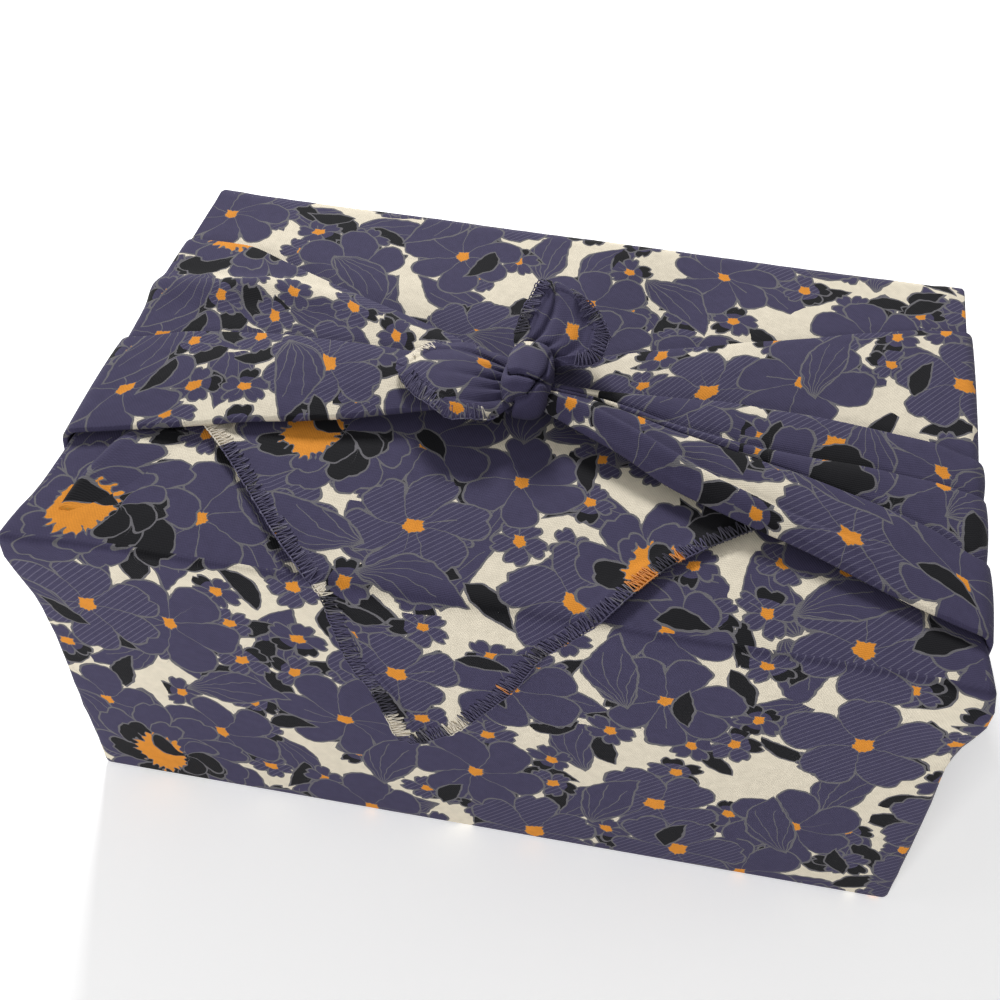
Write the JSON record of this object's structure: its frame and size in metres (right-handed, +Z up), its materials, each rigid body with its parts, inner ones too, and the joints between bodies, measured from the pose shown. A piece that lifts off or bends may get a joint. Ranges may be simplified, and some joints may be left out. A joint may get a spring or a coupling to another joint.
{
  "type": "furoshiki wrap",
  "caption": "Square cotton wrapping cloth folded into a hollow box shape, its back corner hanging over the front and its side corners tied in a knot on top.",
  "frame": {"origin": "middle of the flat base, where the wrap stands", "axes": "+X along the long side, towards the right end seen from the front; +Y to the back; the hanging corner is at -Y; +Z up"},
  "size_m": [0.3005, 0.196, 0.1617],
  "materials": {
    "printed_cotton": "matte woven cotton, printed flowers in indigo, black, grey and orange on cream"
  },
  "bodies": {
    "root": {"furoshiki_cloth": "printed_cotton"}
  },
  "joints": []
}
